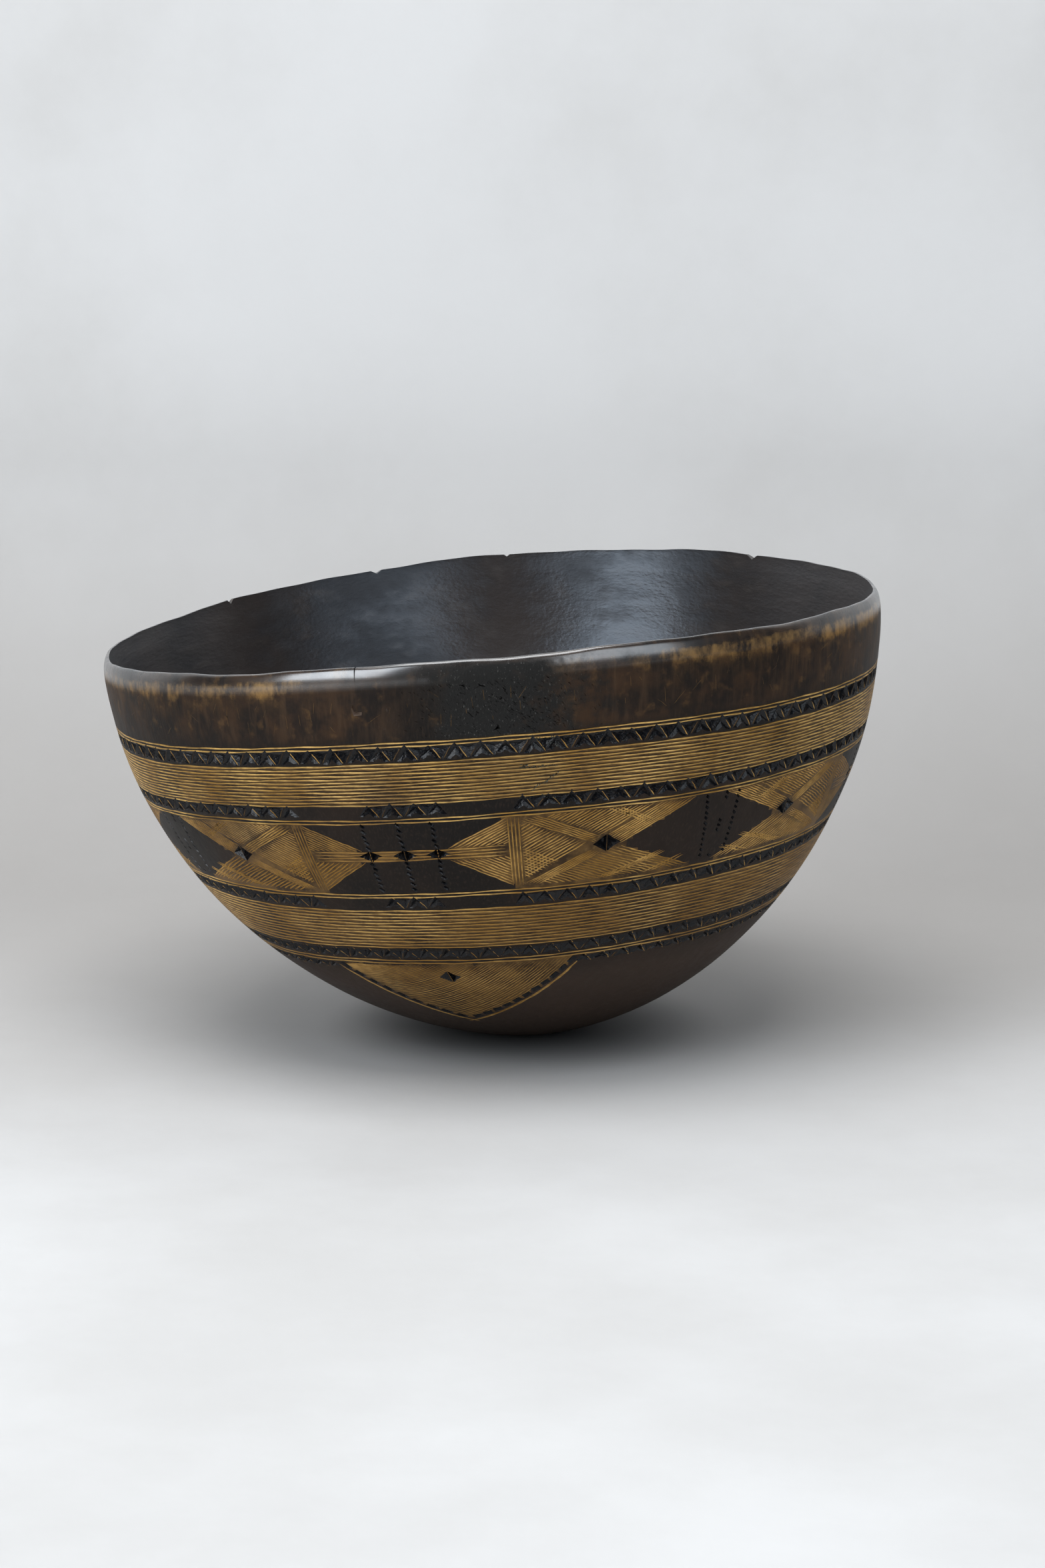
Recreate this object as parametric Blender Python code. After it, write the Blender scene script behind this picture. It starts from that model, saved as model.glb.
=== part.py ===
"""A carved wooden bowl, in metres, +Z up.

The bowl is one piece, carved from a single block of hardwood: a deep, nearly half-round wall whose
rim shoulder rolls in to a thin inner lip. It stands a little tilted, on the flat that long use has
worn into its round underside. The origin is the centre of that flat, and the flat lies in z = 0.

Bowl coordinates are used below: the bowl's own axis is z, zero is the level where the outside is
widest, and a place on the wall is an angle round the axis and a depth under that level.
"""

import math

import bmesh
import bpy
from mathutils import Matrix, Vector

# The outside
RIM_RADIUS = 0.181  # widest outside radius
BOWL_DEPTH = 0.194  # from the widest level down to the lowest point outside
FULLNESS = 1.82  # 2 is a true half ellipse, less is a leaner flank

# The rim
LIP_INSET = 0.0023  # how far the shoulder rolls in from the widest level up to the lip
LIP_HEIGHT = 0.0085  # the lip's top above the widest level
LIP_WIDTH = 0.0009  # the lip's own flat top

# The inside
WALL = 0.0075  # the wall at the widest level, under the lip
FLOOR = 0.017  # the wood under the middle of the hollow

# Unevenness that seasoning left in the wood
END_GRAIN_LIFT = 0.0037  # the rim stands this much higher at front and back, and lower at the sides
LIFT_FADES_AT = 0.250  # depth at which that lift would reach nothing
UNDERSIDE_DRIFT = 0.0065  # the underside's middle lies this far to +X of the rim's

# How it stands
LEAN = math.radians(-5.04)  # turn about +Y: the -X side of the rim is low
WORN_FLAT_DEPTH = 0.0020  # how much wood the worn flat has lost

# Fineness of the mesh
STEPS_ROUND = 80
STEPS_DOWN = 16
STEPS_INSIDE = 12
STEPS_SHOULDER = 4

COLOUR = (0.035, 0.020, 0.014, 1.0)


def flank_radius(depth, widest, deepest):
    """Radius at a depth of a lean half ellipse."""
    share = min(max(depth / deepest, 0.0), 1.0)
    return widest * (1.0 - share**FULLNESS) ** (1.0 / FULLNESS)


def flank(widest, deepest, steps):
    """Points (radius, z) down a flank, from its widest level to the axis, evenly spaced in turn."""
    points = []
    for step in range(steps + 1):
        share = math.sin(0.5 * math.pi * step / steps)
        depth = deepest * share
        points.append((flank_radius(depth, widest, deepest), -depth))
    return points


def profile():
    """The wall's section, from the inner lip over the rim and down the outside, then up the inside."""
    lip_outer = RIM_RADIUS - LIP_INSET
    shoulder = []
    for step in range(STEPS_SHOULDER):
        turn = 0.5 * math.pi * step / STEPS_SHOULDER
        radius = lip_outer + LIP_INSET * math.sin(turn)
        shoulder.append((radius, LIP_HEIGHT * math.cos(turn)))
    inside = flank(RIM_RADIUS - WALL, BOWL_DEPTH - FLOOR, STEPS_INSIDE)
    return (
        shoulder
        + flank(RIM_RADIUS, BOWL_DEPTH, STEPS_DOWN)
        + inside[::-1]
        + [(lip_outer - LIP_WIDTH, LIP_HEIGHT)]
    )


def season(point):
    """Moves a point of the true turned shape to where the uneven wood has it."""
    angle = math.atan2(point.x, -point.y)
    depth = -point.z
    lift = END_GRAIN_LIFT * math.cos(2.0 * angle) * (1.0 - depth / LIFT_FADES_AT)
    spread = min(math.hypot(point.x, point.y) / (0.5 * RIM_RADIUS), 1.0)
    drift = UNDERSIDE_DRIFT * (max(depth, 0.0) / BOWL_DEPTH) ** 3
    return Vector((point.x + drift, point.y, point.z + lift * spread * spread))


def outer_point(angle, depth):
    radius = flank_radius(depth, RIM_RADIUS, BOWL_DEPTH)
    return season(Vector((radius * math.sin(angle), -radius * math.cos(angle), -depth)))


def lowest_point(lean):
    """The lowest point of the leaning bowl's outside, found by halving steps round a first guess."""
    angle = 1.5 * math.pi
    depth = 0.97 * BOWL_DEPTH
    step = 0.2
    best = lean @ outer_point(angle, depth)
    while step > 1e-5:
        tries = [
            (angle + step, depth),
            (angle - step, depth),
            (angle, min(depth + step * 0.02, BOWL_DEPTH)),
            (angle, depth - step * 0.02),
        ]
        found = min(tries, key=lambda place: (lean @ outer_point(*place)).z)
        place = lean @ outer_point(*found)
        if place.z < best.z:
            best = place
            angle, depth = found
        else:
            step *= 0.5
    return best


def clear_scene():
    for obj in list(bpy.data.objects):
        bpy.data.objects.remove(obj, do_unlink=True)


def wood():
    material = bpy.data.materials.new("dark_wood")
    material.use_nodes = True
    shader = material.node_tree.nodes["Principled BSDF"]
    shader.inputs["Base Color"].default_value = COLOUR
    shader.inputs["Roughness"].default_value = 0.45
    shader.inputs["Metallic"].default_value = 0.0
    return material


def turned_wall():
    """The true turned wall, before the wood moved: the section turned round the bowl's axis."""
    mesh = bpy.data.meshes.new("bowl_body")
    outline = bmesh.new()
    corners = [outline.verts.new((radius, 0.0, z)) for radius, z in profile()]
    for first, second in zip(corners, corners[1:] + corners[:1]):
        on_axis = first.co.x < 1e-6 and second.co.x < 1e-6
        if not on_axis:
            outline.edges.new((first, second))
    bmesh.ops.spin(
        outline,
        geom=outline.verts[:] + outline.edges[:],
        cent=(0.0, 0.0, 0.0),
        axis=(0.0, 0.0, 1.0),
        angle=2.0 * math.pi,
        steps=STEPS_ROUND,
        use_merge=True,
    )
    bmesh.ops.remove_doubles(outline, verts=outline.verts, dist=1e-6)
    bmesh.ops.recalc_face_normals(outline, faces=outline.faces)
    outline.to_mesh(mesh)
    outline.free()
    return mesh


def bowl_body(collection, cutters):
    mesh = turned_wall()
    for vertex in mesh.vertices:
        vertex.co = season(vertex.co)
    lean = Matrix.Rotation(LEAN, 3, "Y")
    foot = lowest_point(lean)
    bowl = bpy.data.objects.new("bowl_body", mesh)
    bowl.rotation_euler = (0.0, LEAN, 0.0)
    bowl.location = (-foot.x, -foot.y, -foot.z - WORN_FLAT_DEPTH)
    collection.objects.link(bowl)
    mesh.shade_smooth()
    mesh.set_sharp_from_angle(angle=math.radians(35.0))
    mesh.materials.append(wood())

    bpy.ops.mesh.primitive_cube_add(size=1.0)
    ground = bpy.context.object
    ground.name = "worn_flat_cutter"
    ground.dimensions = (RIM_RADIUS, RIM_RADIUS, 0.02)
    ground.location = (0.0, 0.0, -0.01)
    ground.hide_render = True
    ground.display_type = "WIRE"
    for holder in list(ground.users_collection):
        holder.objects.unlink(ground)
    cutters.objects.link(ground)

    flat = bowl.modifiers.new("worn_flat", "BOOLEAN")
    flat.operation = "DIFFERENCE"
    flat.object = ground
    return bowl


def main():
    clear_scene()
    collection = bpy.data.collections.new("carved_bowl")
    cutters = bpy.data.collections.new("cutters")
    bpy.context.scene.collection.children.link(collection)
    bpy.context.scene.collection.children.link(cutters)
    bowl_body(collection, cutters)


main()
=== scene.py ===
"""The looks of a carved wooden bowl: dark scorched skin, engraved bands, and a frieze of chip carving.

The wall is turned as a stack of rings that meet in the bottoms of engraved lines. Every line, stroke
and chip is cut into its ring, and the faces of a cut wear their own finish: fresh lines are pale, chips
are scorched. Bowl coordinates are used until a ring is finished: the axis is z, zero is the level where
the outside is widest, and a place on the wall is an angle in degrees, from the front (-Y) towards +X,
and a depth in millimetres under that level. Then the wood is seasoned, leaned and set in its place.
"""

import math
import random

import bpy
import numpy as np
from mathutils import Matrix, Vector


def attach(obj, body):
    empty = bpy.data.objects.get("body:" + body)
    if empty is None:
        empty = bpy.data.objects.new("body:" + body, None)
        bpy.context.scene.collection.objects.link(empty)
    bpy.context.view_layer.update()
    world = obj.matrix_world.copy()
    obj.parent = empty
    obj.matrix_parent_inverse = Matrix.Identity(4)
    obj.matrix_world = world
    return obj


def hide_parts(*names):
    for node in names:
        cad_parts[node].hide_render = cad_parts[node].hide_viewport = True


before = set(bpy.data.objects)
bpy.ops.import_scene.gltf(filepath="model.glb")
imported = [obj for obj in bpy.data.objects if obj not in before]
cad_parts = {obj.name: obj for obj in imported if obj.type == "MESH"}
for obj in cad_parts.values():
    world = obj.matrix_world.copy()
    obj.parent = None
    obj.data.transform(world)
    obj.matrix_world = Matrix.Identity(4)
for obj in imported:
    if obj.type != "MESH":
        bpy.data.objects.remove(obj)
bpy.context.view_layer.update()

MM = 0.001

# The wall, as the frame has it
RIM_RADIUS = 0.181
BOWL_DEPTH = 0.194
FULLNESS = 1.82
LIP_INSET = 0.0023
LIP_HEIGHT = 0.0085
LIP_WIDTH = 0.0009
LIP_OUTER = RIM_RADIUS - LIP_INSET
WALL = 0.0075
FLOOR = 0.017
END_GRAIN_LIFT = 0.0037
LIFT_FADES_AT = 0.250
UNDERSIDE_DRIFT = 0.0065
LEAN = math.radians(-5.04)
CENTRE = Vector((-0.01454, 0.0, 0.19103))  # the middle of the widest level, once the bowl stands

# How the wall is split up
RING_THICKNESS = 0.0040  # how far the carved rings reach into the wall
LINER_THICKNESS = 0.0034  # how far the hollow's own shell reaches into it
STRAIGHT_FROM = 0.025  # depth above which the inside runs straight up to the lip
STEPS_ROUND = 360
STROKE_STEPS = 8  # along each stroke
CUTTER_TOP = 0.7  # how far in mm a chip's cutter stands out of the skin
RIM_ENDS = 24.9  # depths in mm at which one ring ends and the next starts
UPPER_ENDS = 60.9
FRIEZE_ENDS = 96.4
LOWER_ENDS = 125.3

# Engraved lines, in mm: how each is cut, and the depths of the lines' middles
LINE_WIDTH = 0.94
LINE_KEEL = 0.44  # from a line's upper edge to its deepest place: the steep wall is dark, the other pale
LINE_CUT = 0.32
UPPER_DOUBLE = (24.9, 26.4)
UPPER_FIELD = [33.9 + 1.52 * line for line in range(13)]
FRIEZE_TOP_DOUBLE = (59.4, 60.9)
FRIEZE_LOW_DOUBLE = (96.4, 97.9)
LOWER_FIELD = [104.9 + 1.63 * line for line in range(13)]
LOWER_DOUBLE = (131.7, 133.3)

# Finishes by face
SKIN, PALE, SCORCHED, INSIDE, RAW, RUBBED, WAX = range(7)


# ---- the wall's form


def outer_radius(depth):
    """Radius of the outside at a depth in metres, for a number or an array."""
    share = np.clip(np.asarray(depth, float) / BOWL_DEPTH, 0.0, 1.0)
    return RIM_RADIUS * (1.0 - share**FULLNESS) ** (1.0 / FULLNESS)


def inner_radius(depth):
    share = np.clip(np.asarray(depth, float) / (BOWL_DEPTH - FLOOR), 0.0, 1.0)
    return (RIM_RADIUS - WALL) * (1.0 - share**FULLNESS) ** (1.0 / FULLNESS)


def on_wall(angle, depth, height):
    """The point at an angle in degrees and a depth in mm, that many metres out of the skin."""
    turn = math.radians(angle)
    down = depth * MM
    radius = float(outer_radius(down))
    slope = float(outer_radius(down + 1e-4)) - float(outer_radius(down - 1e-4))
    out = Vector((2e-4, 0.0, slope)).normalized()  # radial and upward parts of the wall's normal
    reach = radius + height * out.x
    return Vector((reach * math.sin(turn), -reach * math.cos(turn), -down + height * out.z))


def millimetres_per_degree(depth):
    return float(outer_radius(depth * MM)) / MM * math.pi / 180.0


DEPTHS = np.linspace(BOWL_DEPTH / MM, 90.0, 400)
REACHES = np.concatenate(
    [[0.0], np.cumsum(np.hypot(np.diff(DEPTHS), np.diff(outer_radius(DEPTHS * MM) / MM)))]
)


def base_place(angle, depth):
    """A place on the underside, laid out flat round the lowest point, in mm."""
    reach = float(np.interp(-depth, -DEPTHS, REACHES))
    turn = math.radians(angle)
    return Vector((reach * math.sin(turn), -reach * math.cos(turn)))


def base_angle_depth(place):
    reach = place.length
    return math.degrees(math.atan2(place.x, -place.y)), float(np.interp(reach, REACHES, DEPTHS))


# ---- mesh helpers


def deselect_all():
    bpy.ops.object.select_all(action="DESELECT")


def edit(choice=None):
    """Starts to edit the active piece, with all of it selected or none where a choice is given."""
    bpy.ops.object.mode_set(mode="EDIT")
    if choice:
        bpy.ops.mesh.select_all(action=choice)


def leave_edit():
    bpy.ops.object.mode_set(mode="OBJECT")


def make_active(piece):
    deselect_all()
    piece.select_set(True)
    bpy.context.view_layer.objects.active = piece


def turned(name, section):
    """A closed section, as (radius, z) points, turned round the axis. An edge on the axis is left out."""
    deselect_all()
    bpy.ops.mesh.primitive_circle_add(vertices=len(section), radius=RIM_RADIUS, fill_type="NOTHING")
    piece = bpy.context.object
    piece.name = name
    piece.data.name = name
    for vertex, (radius, z) in zip(piece.data.vertices, section):
        vertex.co = (radius, 0.0, z)
    for vertex in piece.data.vertices:
        vertex.select = vertex.co.x < 1e-7
    for edge in piece.data.edges:
        edge.select = all(piece.data.vertices[end].select for end in edge.vertices)
    edit()
    bpy.ops.mesh.select_mode(type="EDGE")
    bpy.ops.mesh.delete(type="EDGE")
    bpy.ops.mesh.select_all(action="SELECT")
    bpy.ops.mesh.spin(steps=STEPS_ROUND, angle=2.0 * math.pi, center=(0, 0, 0), axis=(0, 0, 1))
    bpy.ops.mesh.select_all(action="SELECT")
    bpy.ops.mesh.remove_doubles(threshold=1e-6)
    bpy.ops.mesh.normals_make_consistent(inside=False)
    leave_edit()
    for material in FINISHES:
        piece.data.materials.append(material)
    return piece


def face_outwards(merge=0.0):
    """Turns the active piece's faces outwards, once points closer than merge are joined."""
    edit("SELECT")
    if merge:
        bpy.ops.mesh.remove_doubles(threshold=merge)
    bpy.ops.mesh.normals_make_consistent(inside=False)
    leave_edit()


def pit(name, outline, floor):
    """A cutter in flat millimetres: an outline at skin level, straight up from it, and down to a floor.

    Each outline point has a floor point (x, y, depth). Points that share a floor point meet there.
    """
    deselect_all()
    bpy.ops.mesh.primitive_circle_add(vertices=len(outline), radius=1.0, fill_type="NGON")
    cutter = bpy.context.object
    cutter.name = name
    for vertex, (x, y) in zip(cutter.data.vertices, outline):
        vertex.co = (x, y, CUTTER_TOP)
    edit("SELECT")
    for level in range(2):
        bpy.ops.mesh.extrude_region_move(TRANSFORM_OT_translate={"value": (0.0, 0.0, -1.0 - level)})
    leave_edit()
    levels = sorted({round(vertex.co.z, 4) for vertex in cutter.data.vertices})
    for vertex in cutter.data.vertices:
        place = min(range(len(outline)), key=lambda i: (Vector(outline[i]) - vertex.co.xy).length)
        if round(vertex.co.z, 4) == levels[0]:
            x, y, depth = floor[place]
            vertex.co = (x, y, -depth)
        elif round(vertex.co.z, 4) == levels[1]:
            vertex.co.z = 0.0
    face_outwards(1e-4)
    return cutter


def stroke_cutter():
    """One engraved stroke, one millimetre long and wide: a three-cornered bar with points along it."""
    deselect_all()
    bpy.ops.mesh.primitive_cylinder_add(
        vertices=3, radius=0.5, depth=1.0, rotation=(0.0, math.radians(90.0), 0.0)
    )
    cutter = bpy.context.object
    cutter.name = "stroke"
    bpy.ops.object.transform_apply(location=True, rotation=True, scale=True)
    edit("DESELECT")
    bpy.ops.mesh.select_mode(type="EDGE")
    leave_edit()
    mesh = cutter.data
    for edge in mesh.edges:
        ends = [mesh.vertices[end].co.x for end in edge.vertices]
        edge.select = abs(ends[0] - ends[1]) > 0.5
    edit()
    bpy.ops.mesh.subdivide(number_cuts=STROKE_STEPS - 1)
    leave_edit()
    for vertex in mesh.vertices:
        keel = vertex.co.y > 0.3
        vertex.co.y = 0.0 if keel else math.copysign(1.0, vertex.co.z)
        vertex.co.z = -1.0 if keel else 1.0
    face_outwards()
    return cutter


def copies(template, places, shape):
    """One joined mesh of many copies of a cutter. shape(vertex, place) gives each point on the wall."""
    made = []
    for place in places:
        copy = template.copy()
        copy.data = template.data.copy()
        for vertex in copy.data.vertices:
            vertex.co = shape(vertex.co, place)
        bpy.context.collection.objects.link(copy)
        made.append(copy)
    deselect_all()
    for copy in made:
        copy.select_set(True)
    bpy.context.view_layer.objects.active = made[0]
    if len(made) > 1:
        bpy.ops.object.join()
    return bpy.context.view_layer.objects.active


def slant(depth):
    """How many millimetres down the wall one millimetre of depth takes."""
    drop = float(outer_radius((depth - 0.1) * MM)) - float(outer_radius((depth + 0.1) * MM))
    return math.hypot(1.0, drop / (0.2 * MM))


def chip_shape(point, place):
    """Sets a chip down at (angle, depth, turn in degrees, width factor, height factor)."""
    angle, depth, turn, wide, high = place
    swung = Matrix.Rotation(math.radians(turn), 2) @ Vector((point.x * wide, point.y * high))
    low = depth - swung.y / slant(depth)
    return on_wall(angle + swung.x / millimetres_per_degree(depth), low, point.z * MM)


def taper(share):
    """How much of its width and cut a stroke has at a share of its length: its ends are finer."""
    return 0.35 + 0.65 * min(min(share, 1.0 - share) * STROKE_STEPS, 1.0)


def off_the_run(point, run, width):
    """How far to the side of its run a point of a stroke lies. The cutter widens above the skin."""
    side = Vector((run.y, -run.x)).normalized()
    return side * point.y * 0.5 * width * taper(point.x + 0.5) * (2.0 if point.z > 0 else 1.0)


def stroke_shape(point, place):
    """Bends a stroke along (angle, depth) to (angle, depth), with its width and cut in mm."""
    (angle, depth), (to_angle, to_depth), width, cut_mm = place
    scale = millimetres_per_degree(0.5 * (depth + to_depth))
    run = Vector(((to_angle - angle) * scale, to_depth - depth))
    share = point.x + 0.5
    across = off_the_run(point, run, width)
    height = cut_mm if point.z > 0 else -cut_mm * taper(share)
    x = angle + (to_angle - angle) * share + across.x / scale
    return on_wall(x, depth + (to_depth - depth) * share + across.y, height * MM)


def base_chip_shape(point, place):
    """Sets a chip down on the underside at (place, turn in degrees, width factor, height factor)."""
    middle, turn, wide, high = place
    swung = Matrix.Rotation(math.radians(turn), 2) @ Vector((point.x * wide, -point.y * high))
    angle, depth = base_angle_depth(middle + swung)
    return on_wall(angle, depth, point.z * MM)


def base_stroke_shape(point, place):
    """Bends a stroke along the underside from place to place, with its width and cut in mm."""
    start, end, width, cut_mm = place
    run = end - start
    share = point.x + 0.5
    angle, depth = base_angle_depth(start + run * share + off_the_run(point, run, width))
    return on_wall(angle, depth, (cut_mm if point.z > 0 else -cut_mm * taper(share)) * MM)


def cut(piece, cutter, finish):
    """Cuts the cutter out of the piece. The new faces wear the finish."""
    for material in piece.data.materials:
        cutter.data.materials.append(material)
    cutter.data.polygons.foreach_set("material_index", [finish] * len(cutter.data.polygons))
    make_active(piece)
    chisel = piece.modifiers.new("chisel", "BOOLEAN")
    chisel.operation = "DIFFERENCE"
    chisel.solver = "MANIFOLD"
    chisel.object = cutter
    bpy.ops.object.modifier_apply(modifier=chisel.name)
    bpy.data.objects.remove(cutter, do_unlink=True)


def rub(piece, in_field):
    """Skin left between the strokes of a hatched field is rubbed thin: it wears its own finish."""
    for polygon in piece.data.polygons:
        if polygon.material_index == SKIN:
            middle = polygon.center
            if in_field(math.degrees(math.atan2(middle.x, -middle.y)), -middle.z / MM):
                polygon.material_index = RUBBED


# ---- the hand of the carver and the wood


def hand(places):
    """Moves points of the true turned wall to where an unsteady hand set the bands."""
    angle = np.arctan2(places[:, 0], -places[:, 1])
    radius = np.hypot(places[:, 0], places[:, 1])
    depth = -places[:, 2]
    fade = np.clip(depth / 0.015, 0.0, 1.0) ** 2 * np.clip((0.185 - depth) / 0.03, 0.0, 1.0)
    right_sag = 0.0016 * np.exp(-(((angle - math.radians(32.0)) / 0.45) ** 2))
    right_sag *= np.exp(-((depth / 0.075) ** 4))
    side_rise = 0.0026 * np.exp(-(((depth - 0.100) / 0.045) ** 2))
    side_rise *= 1.0 - np.cos(2.0 * (angle - math.radians(10.0)))
    waver = 0.00012 * np.sin(23.0 * angle + 900.0 * depth)
    waver += 0.00010 * np.sin(61.0 * angle + 2100.0 * depth)
    waver += 0.00022 * np.sin(7.0 * angle + 60.0 * depth)
    moved = np.where(depth > 0.0, depth + fade * (right_sag - side_rise + waver), depth)
    outside = radius > inner_radius(np.maximum(depth, 0.0)) + 0.5 * (WALL - RING_THICKNESS)
    moved = np.where(outside, moved, depth)
    wave = np.sin(9.0 * angle + 1.0) + 0.6 * np.sin(17.0 * angle) + 0.3 * np.sin(41.0 * angle)
    moved = moved + 0.00035 * (wave + 1.9) * np.clip(-depth / LIP_HEIGHT, 0.0, 1.0)
    uneven = 0.00016 * (np.sin(11.0 * angle + 40.0 * depth) + np.sin(5.0 * angle - 90.0 * depth) - 2.0)
    uneven = uneven * np.clip(depth / 0.02, 0.0, 1.0) * outside
    radius = radius + outer_radius(np.maximum(moved, 0.0)) - outer_radius(np.maximum(depth, 0.0)) + uneven
    radius = np.maximum(radius, 0.0)
    return np.stack([radius * np.sin(angle), -radius * np.cos(angle), -moved], axis=1)


def season(places):
    """Lets the wood move as it did while it dried: ends up, sides down, underside to +X."""
    angle = np.arctan2(places[:, 0], -places[:, 1])
    depth = -places[:, 2]
    lift = END_GRAIN_LIFT * np.cos(2.0 * angle) * (1.0 - depth / LIFT_FADES_AT)
    spread = np.minimum(np.hypot(places[:, 0], places[:, 1]) / (0.5 * RIM_RADIUS), 1.0)
    drift = UNDERSIDE_DRIFT * (np.maximum(depth, 0.0) / BOWL_DEPTH) ** 3
    return np.stack([places[:, 0] + drift, places[:, 1], places[:, 2] + lift * spread**2], axis=1)


def read(items, name, kind, width=1):
    """One property of all the items, as an array."""
    values = np.empty(len(items) * width, kind)
    items.foreach_get(name, values)
    return values


def settle(piece):
    """Takes a finished ring from the true turned form to the bowl as it stands."""
    mesh = piece.data
    places = season(hand(read(mesh.vertices, "co", float, 3).reshape(-1, 3)))
    lean = np.array(Matrix.Rotation(LEAN, 3, "Y"))
    places = places @ lean.T + np.array(CENTRE)
    mesh.vertices.foreach_set("co", places.ravel())
    mesh.update()


def lay_out(piece, top, bottom, arcs):
    """Gives the piece its wall map, in metres round and down the wall, and a map of stacked arcs."""
    mesh = piece.data
    places = read(mesh.vertices, "co", float, 3).reshape(-1, 3)
    starts = read(mesh.polygons, "loop_start", np.int32)
    totals = read(mesh.polygons, "loop_total", np.int32)
    finish = read(mesh.polygons, "material_index", np.int32)
    corner = read(mesh.loops, "vertex_index", np.int32)
    face = np.repeat(np.arange(len(totals)), totals)
    at = places[corner]
    middle = np.add.reduceat(at, starts) / totals[:, None]
    middle_angle = np.arctan2(middle[:, 0], -middle[:, 1])[face]
    angle = np.arctan2(at[:, 0], -at[:, 1])
    angle = middle_angle + (angle - middle_angle + math.pi) % (2.0 * math.pi) - math.pi
    near_axis = np.hypot(at[:, 0], at[:, 1]) < 1e-5
    angle = np.where(near_axis, middle_angle, angle)
    wall = np.stack([angle * RIM_RADIUS, -at[:, 2]], axis=1)
    mesh.uv_layers.new(name="wall").uv.foreach_set("vector", wall.ravel())

    turn = (middle_angle / (2.0 * math.pi) + 0.5) * arcs
    arc = np.clip(np.floor(turn), 0, arcs - 1)
    across = (angle / (2.0 * math.pi) + 0.5) * arcs - arc
    if (finish == INSIDE).any():
        down = np.arctan2(-at[:, 2], np.hypot(at[:, 0], at[:, 1])) / (0.5 * math.pi)
        down = 0.12 + 0.75 * np.clip(down, -0.1, 1.0)
    else:
        down = 0.84 * (-at[:, 2] - top * MM) / ((bottom - top) * MM)
    radius = np.hypot(at[:, 0], at[:, 1])
    hidden = (finish == RAW)[face]
    down = np.where(hidden, 0.90 + 0.09 * radius / RIM_RADIUS, down)
    flat = np.stack([0.02 + 0.96 * across, (arc + 0.01 + 0.98 * np.clip(down, 0.0, 1.0)) / arcs], axis=1)
    mesh.uv_layers.new(name="OFBake").uv.foreach_set("vector", flat.ravel())
    mesh.uv_layers.active = mesh.uv_layers["wall"]


def in_line_field(depth):
    """Whether a depth in mm lies between the lines of one of the two close-set fields."""
    return any(field[0] < depth < field[-1] for field in (UPPER_FIELD, LOWER_FIELD))


SKIN_DEEP = 0.00004  # a face that lies deeper than this is in a line
DEEPEST_LINE = 0.0012  # and one that lies deeper than this is inside the wall


def finish_faces(piece):
    """Sets each turned face's finish by how deep in the wall it lies: hidden wood, a line or skin."""
    for polygon in piece.data.polygons:
        middle = polygon.center
        depth = max(-middle.z, 0.0)
        inset = float(outer_radius(depth)) - math.hypot(middle.x, middle.y)
        slope = (float(outer_radius(depth - 1e-4)) - float(outer_radius(depth + 1e-4))) / 2e-4
        inset /= math.hypot(1.0, slope)
        if inset > DEEPEST_LINE:
            polygon.material_index = RAW
        elif inset > SKIN_DEEP:
            upward = polygon.normal.z > -slope / math.hypot(1.0, slope)
            polygon.material_index = PALE if upward else SKIN
        elif in_line_field(depth / MM):
            polygon.material_index = RUBBED
        else:
            polygon.material_index = SKIN


# ---- the rings


ROW_HEIGHT = 2.4  # the most that a row of faces takes of a ring's plain skin, in mm


def skin_points(start, end, lines, step):
    """(radius, z) points down the skin between two depths in mm, with an engraved groove at each line."""
    half = 0.5 * LINE_WIDTH
    stops = [start]
    grooves = sorted(line for line in lines if start <= line <= end)
    for line in grooves:
        stops += [line - half, line + half]
    stops.append(end)
    points = []
    for first, second in zip(stops[0::2], stops[1::2]):
        if second - first > 1e-6:
            rows = max(1, math.ceil((second - first) / step))
            points += [(first + (second - first) * row / rows, 0.0) for row in range(rows + 1)]
    for line in grooves:
        keel = line - half + LINE_KEEL
        if start <= keel <= end:
            points.append((keel, LINE_CUT))
        for edge in (start, end):
            if abs(edge - line) < 1e-6:
                points.append((line, LINE_CUT * half / (LINE_WIDTH - LINE_KEEL)))
    points = [p for p in points if p[1] > 0 or all(abs(p[0] - line) >= half - 1e-6 for line in grooves)]
    points.sort()
    return [(float(outer_radius(depth * MM)) - inset * MM, -depth * MM) for depth, inset in points]


def ring(name, start, end, lines):
    """A carved ring: skin with its lines outside, and a plain back inside the wall."""
    front = skin_points(start, end, lines, ROW_HEIGHT)
    depths = [end + (start - end) * step / 6.0 for step in range(7)]
    back = [(float(outer_radius(depth * MM)) - RING_THICKNESS, -depth * MM) for depth in depths]
    piece = turned(name, front + back)
    finish_faces(piece)
    return piece


def finished(piece, top, bottom, arcs, worn_flat=False):
    """The worn flat lies in the ground's plane."""
    lay_out(piece, top, bottom, arcs)
    settle(piece)
    make_active(piece)
    edit("SELECT")
    if worn_flat:
        bpy.ops.mesh.bisect(plane_co=(0, 0, 0), plane_no=(0, 0, -1), clear_outer=True, use_fill=True)
    else:
        bpy.ops.mesh.dissolve_degenerate(threshold=1e-6)
    leave_edit()
    bpy.ops.object.shade_smooth_by_angle(angle=math.radians(28.0))
    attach(piece, "root")
    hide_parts("bowl_body")


# Nicks in the lip: angle, width and depth in mm. The fourth is a crack.
LIP_NICKS = (
    (-132.6, 4.0, 2.2),
    (-160.5, 6.0, 1.8),
    (133.1, 7.0, 2.4),
    (-18.0, 0.7, 7.5),
    (177.6, 3.0, 1.2),
)


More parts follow.
